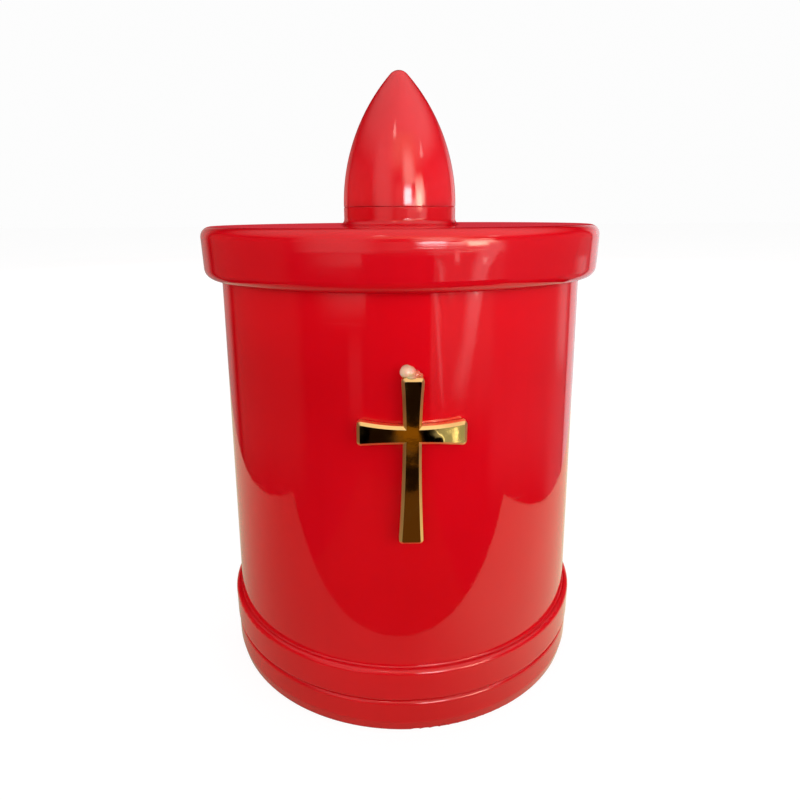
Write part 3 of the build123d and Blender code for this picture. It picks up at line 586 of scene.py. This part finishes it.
pane("lamp_left", ((-22, 45), (-8, 45), (-13, 61), (-21, 61)), 5.5, (1.0, 0.85, 0.75), (0.4, 0.4, 0.3, 0.6), 1.2)
pane("lamp_right", ((45, 29), (58, 29), (62, 42), (53, 42)), 5.0, (1.0, 0.80, 0.72), (0.4, 0.4, 0.3, 0.6), 1.2)
band("glow_high", (-42, 60), (18, 74), 1.35, (1.0, 0.88, 0.60), (0.8, 0.8, 0.35, 0.5), 1.9)
band("left_wall", (-64, -5), (-1.5, 66), 0.80, WARM, (0.8, 0.7, 0.02, 0.4), 1.5)
band("left_screen", (-58, -22.5), (-7.5, -1.3), 0.55, WARM, (0.8, 0.02, 0.6, 0.0), 1.45)
band("left_strip", (-35, -25.5), (-20, -6), 0.15, (1, 1, 1), (0.3, 0.1, 0.7, 0.4), 1.40)
band("right_room", (50, 126), (-26, 24), 0.24, (1.0, 0.62, 0.66), (0.2, 0.1, 0.2, 0.3))
band("right_side", (98, 128), (-28, 14), 0.27, (1.0, 0.80, 0.82), (0.5, 0.05, 0.1, 0.3), 1.42)
band("right_streak", (107, 125), (-14, -3.0), 0.66, (1, 0.90, 0.90), (0.5, 0.2, 0.4, 0.1), 1.28)
band("middle_high", (-16, 11), (-1.2, 20), 0.50, WARM, (0.4, 0.1, 0.05, 0.4), 1.55)
band("back_red", (138, 222), (-1.4, 4.5), 0.90, (0.66, 0.045, 0.06), (0.1, 0.1, 0.1, 0.2), 1.38)
band("back_right", (127, 157), (-28, 24), 0.90, (1.0, 0.95, 0.97), (0.20, 0.10, 0.05, 0.4), 1.45)
band("back_middle", (153, 206), (-28, 24), 0.60, (0.66, 0.045, 0.06), (0.1, 0.1, 0.05, 0.4), 1.6)
band("back_left", (196, 229), (-28, 24), 0.42, (1.0, 0.78, 0.70), (0.10, 0.4, 0.05, 0.4))
band("left_room", (-132, -60), (-26, 24), 0.15, (1.0, 0.62, 0.50), (0.2, 0.3, 0.2, 0.3))
flat_card("ceiling", rectangle(-3.0, 3.0, -3.0, 2.0, 1.35), 0.78, (1.0, 0.97, 0.93), (0.42, 0.42, 0.45, 0.42))
flat_card("ceiling_lit", rectangle(-0.8, 2.4, -1.8, 0.9, 1.30), 1.10, (1.0, 0.97, 0.93), (0.5, 0.4, 0.45, 0.45))


# what stands in the light's way in front of the lamp
flag = flat_quad("flag", ((-0.036, -0.14, 0.004), (0.036, -0.14, 0.004), (0.036, -0.14, 0.056), (-0.036, -0.14, 0.056)),
                 emission("flag", (0.05, 0.02, 0.02), 0.0))
flag.visible_camera = False
flag.visible_glossy = False


def area(name, place, target, size, power, colour=(1, 1, 1)):
    """A soft rectangular light that gloss doesn't see."""
    data = bpy.data.lights.new(name, "AREA")
    data.shape = "RECTANGLE"
    data.size, data.size_y = size
    data.energy = power
    data.color = colour
    lamp = bpy.data.objects.new(name, data)
    SCENE.collection.objects.link(lamp)
    lamp.location = place
    lamp.rotation_mode = "QUATERNION"
    lamp.rotation_quaternion = (Vector(target) - Vector(place)).to_track_quat("-Z", "Y")
    lamp.visible_glossy = False
    return lamp


area("key", (0.64, -0.36, 0.13), (0, 0, 0.04), (0.6, 0.5), 4.0, (1.0, 0.97, 1.08))
area("fill", (-0.44, -0.60, 0.16), (0, 0, 0.06), (0.6, 0.5), 2.55, (1.0, 0.98, 0.95))
area("back", (0.16, 0.78, 0.30), (0, 0, 0.06), (0.7, 0.5), 1.7, (1.0, 0.97, 0.94))


def white_dome():
    """An even white backdrop that only the camera sees."""
    mesh = bpy.data.meshes.new("backdrop")
    shape = bmesh.new()
    bmesh.ops.create_uvsphere(shape, u_segments=48, v_segments=24, radius=8.0)
    shape.to_mesh(mesh)
    shape.free()
    mesh.materials.append(emission("backdrop", (1, 1, 1), 0.98))
    dome = bpy.data.objects.new("backdrop", mesh)
    SCENE.collection.objects.link(dome)
    only_in_reflections(dome)
    dome.visible_glossy = False
    dome.visible_camera = True


white_dome()

world = bpy.data.worlds.new("world")
SCENE.world = world
world.use_nodes = True
background = world.node_tree.nodes["Background"]
background.inputs["Color"].default_value = (1.0, 0.99, 0.98, 1)
background.inputs["Strength"].default_value = 0.66
world.cycles_visibility.glossy = False

SCENE.view_settings.view_transform = "Standard"
SCENE.view_settings.look = "None"
